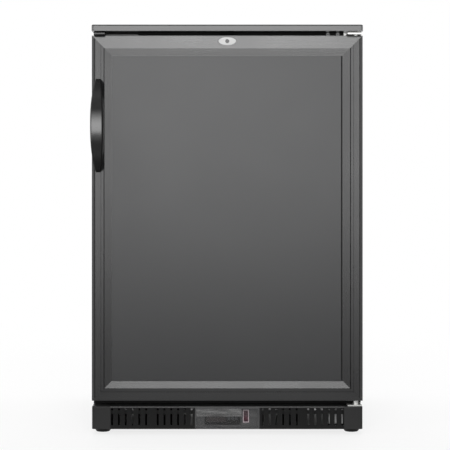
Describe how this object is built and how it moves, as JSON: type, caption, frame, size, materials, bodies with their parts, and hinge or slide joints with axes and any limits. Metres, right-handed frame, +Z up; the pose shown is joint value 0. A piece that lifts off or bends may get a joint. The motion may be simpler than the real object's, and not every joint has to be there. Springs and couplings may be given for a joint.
{
  "type": "undercounter refrigerator",
  "caption": "Undercounter refrigerator with one solid lockable door, a bow handle, slotted base grilles, a thermostat behind a clear flap, wire shelves and levelling feet.",
  "frame": {"origin": "centre of the footprint, on the floor under the feet", "axes": "+Z up, +X to the hinge side (right, seen from the front), +Y to the back; the door faces -Y"},
  "size_m": [0.6, 0.558, 0.907],
  "materials": {
    "black_paint": "satin",
    "galvanised_steel": "satin",
    "insulation": "matte",
    "embossed_aluminium": "satin",
    "black_frame": "satin",
    "base_paint": "satin",
    "grille_plastic": "satin",
    "door_aluminium": "satin",
    "door_skin": "satin",
    "door_lining": "satin",
    "gasket_rubber": "matte",
    "handle_plastic": "gloss",
    "zinc": "satin",
    "spare_seat_paint": "satin",
    "lock_chrome": "polished",
    "white_nylon": "satin",
    "control_plastic": "gloss",
    "display_red": "gloss",
    "key_plastic": "satin",
    "smoked_clear": "gloss",
    "switch_black": "satin",
    "switch_red": "gloss",
    "shelf_wire": "satin",
    "fin_aluminium": "satin",
    "white_cover": "satin",
    "fan_plastic": "satin",
    "motor_steel": "satin",
    "light_diffuser": "satin",
    "tray_plastic": "satin",
    "compressor_black": "satin",
    "copper": "satin",
    "gland_plastic": "satin",
    "foot_plastic": "satin"
  },
  "bodies": {
    "cabinet": {"worktop": "black_paint", "side_panel_left": "black_paint", "side_panel_right": "black_paint", "lock_strike": "black_paint", "back_panel": "galvanised_steel", "rear_cover": "galvanised_steel", "condenser_shroud": "galvanised_steel", "cabinet_foam": "insulation", "inner_liner": "embossed_aluminium", "front_frame": "black_frame", "corner_blocks": "black_frame", "base_frame": "base_paint", "grille_left": "grille_plastic", "grille_right": "grille_plastic", "compressor_mounts": "gasket_rubber", "hinge_top": "zinc", "hinge_bottom": "zinc", "cabinet_screws": "zinc", "shelf_supports": "zinc", "spare_hinge_plate": "spare_seat_paint", "control_housing": "control_plastic", "controller": "control_plastic", "display_lens": "display_red", "switch_body": "switch_black", "evaporator_coil": "fin_aluminium", "condenser_coil": "fin_aluminium", "evaporator_cover": "white_cover", "evaporator_fan_motor": "motor_steel", "condenser_fan_motor": "motor_steel", "led_light": "light_diffuser", "drip_tray": "tray_plastic", "compressor": "compressor_black", "refrigerant_lines": "copper", "cable_gland": "gland_plastic"},
    "door": {"door_rail_top": "door_aluminium", "door_rail_bottom": "door_aluminium", "door_rail_hinge_side": "door_aluminium", "door_rail_handle_side": "door_aluminium", "door_front_panel": "door_skin", "door_foam": "insulation", "door_inner_panel": "door_lining", "door_gasket": "gasket_rubber", "handle": "handle_plastic", "handle_screws": "zinc", "hinge_bushes": "white_nylon", "lock_case": "lock_chrome"},
    "plug": {"lock_plug": "lock_chrome"},
    "flap": {"control_cover": "smoked_clear"},
    "rocker": {"power_switch": "switch_red"},
    "key_set": {"button_set": "key_plastic"},
    "key_up": {"button_up": "key_plastic"},
    "key_down": {"button_down": "key_plastic"},
    "warm_fan": {"condenser_fan": "fan_plastic"},
    "cold_fan": {"evaporator_fan": "fan_plastic"},
    "lower_shelf": {"shelf_lower": "shelf_wire"},
    "upper_shelf": {"shelf_upper": "shelf_wire"},
    "front_left_foot": {"foot_front_left": "foot_plastic"},
    "front_right_foot": {"foot_front_right": "foot_plastic"},
    "rear_left_foot": {"foot_rear_left": "foot_plastic"},
    "rear_right_foot": {"foot_rear_right": "foot_plastic"}
  },
  "joints": [
    {"name": "door_hinge", "type": "hinge", "parent": "cabinet", "child": "door", "pos_m": [0.2848, -0.2225, 0.477], "axis": [0, 0, 1], "range_deg": [0, 105]},
    {"name": "lock_turn", "type": "hinge", "parent": "door", "child": "plug", "pos_m": [0, -0.23, 0.8704], "axis": [0, 1, 0], "range_deg": [0, 90]},
    {"name": "cover_flap", "type": "hinge", "parent": "cabinet", "child": "flap", "pos_m": [0, -0.2395, 0.0572], "axis": [-1, 0, 0], "range_deg": [0, 95]},
    {"name": "switch_rock", "type": "hinge", "parent": "cabinet", "child": "rocker", "pos_m": [0.0413, -0.229, 0.0415], "axis": [1, 0, 0], "range_deg": [0, 16]},
    {"name": "warm_fan_spin", "type": "hinge", "parent": "cabinet", "child": "warm_fan", "pos_m": [0.136, 0.1875, 0.12], "axis": [1, 0, 0], "continuous": true},
    {"name": "cold_fan_spin", "type": "hinge", "parent": "cabinet", "child": "cold_fan", "pos_m": [0, 0.197, 0.752], "axis": [0, 1, 0], "continuous": true},
    {"name": "key_set_press", "type": "slide", "parent": "cabinet", "child": "key_set", "axis": [0, 1, 0], "range_m": [0, 0.0008], "stiffness_N_per_m": 800},
    {"name": "key_up_press", "type": "slide", "parent": "cabinet", "child": "key_up", "axis": [0, 1, 0], "range_m": [0, 0.0008], "stiffness_N_per_m": 800},
    {"name": "key_down_press", "type": "slide", "parent": "cabinet", "child": "key_down", "axis": [0, 1, 0], "range_m": [0, 0.0008], "stiffness_N_per_m": 800},
    {"name": "lower_shelf_lift", "type": "slide", "parent": "cabinet", "child": "lower_shelf", "axis": [0, 0, 1], "range_m": [0, 0.02]},
    {"name": "upper_shelf_lift", "type": "slide", "parent": "cabinet", "child": "upper_shelf", "axis": [0, 0, 1], "range_m": [0, 0.02]},
    {"name": "front_left_screw", "type": "slide", "parent": "cabinet", "child": "front_left_foot", "axis": [0, 0, 1], "range_m": [-0.015, 0.0025]},
    {"name": "front_right_screw", "type": "slide", "parent": "cabinet", "child": "front_right_foot", "axis": [0, 0, 1], "range_m": [-0.015, 0.0025]},
    {"name": "rear_left_screw", "type": "slide", "parent": "cabinet", "child": "rear_left_foot", "axis": [0, 0, 1], "range_m": [-0.015, 0.0025]},
    {"name": "rear_right_screw", "type": "slide", "parent": "cabinet", "child": "rear_right_foot", "axis": [0, 0, 1], "range_m": [-0.015, 0.0025]}
  ]
}
